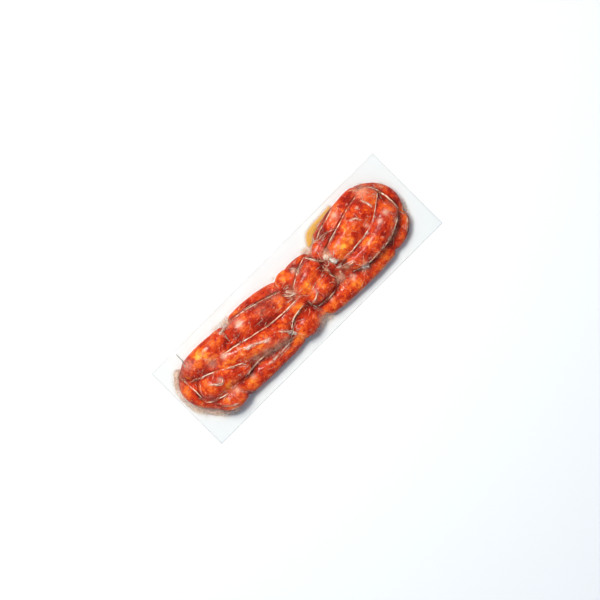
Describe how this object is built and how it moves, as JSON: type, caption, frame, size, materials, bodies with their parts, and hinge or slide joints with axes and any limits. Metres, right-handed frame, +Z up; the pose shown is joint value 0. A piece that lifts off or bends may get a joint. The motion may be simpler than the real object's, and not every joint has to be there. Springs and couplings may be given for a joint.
{
  "type": "vacuum-packed string of sausage links",
  "caption": "String of short red sausage links lying two deep in a clear vacuum pack, with a flat sealed edge all round and film drawn down over the links.",
  "frame": {"origin": "on the table, under the middle of the sealed film", "axes": "+X along the pack, +Y across it, +Z up"},
  "size_m": [0.381, 0.121, 0.0452],
  "materials": {
    "film_over_sausage": "clear glossy film drawn tight over red sausage",
    "film": "clear glossy film, creased, milky where it folds",
    "sausage": "moist red minced meat with orange and pale fat, in a thin casing",
    "casing": "twisted sausage casing, pale and slightly clear",
    "twine": "thin cotton twine"
  },
  "bodies": {
    "root": {"vacuum_pack": "film_over_sausage"}
  },
  "joints": []
}
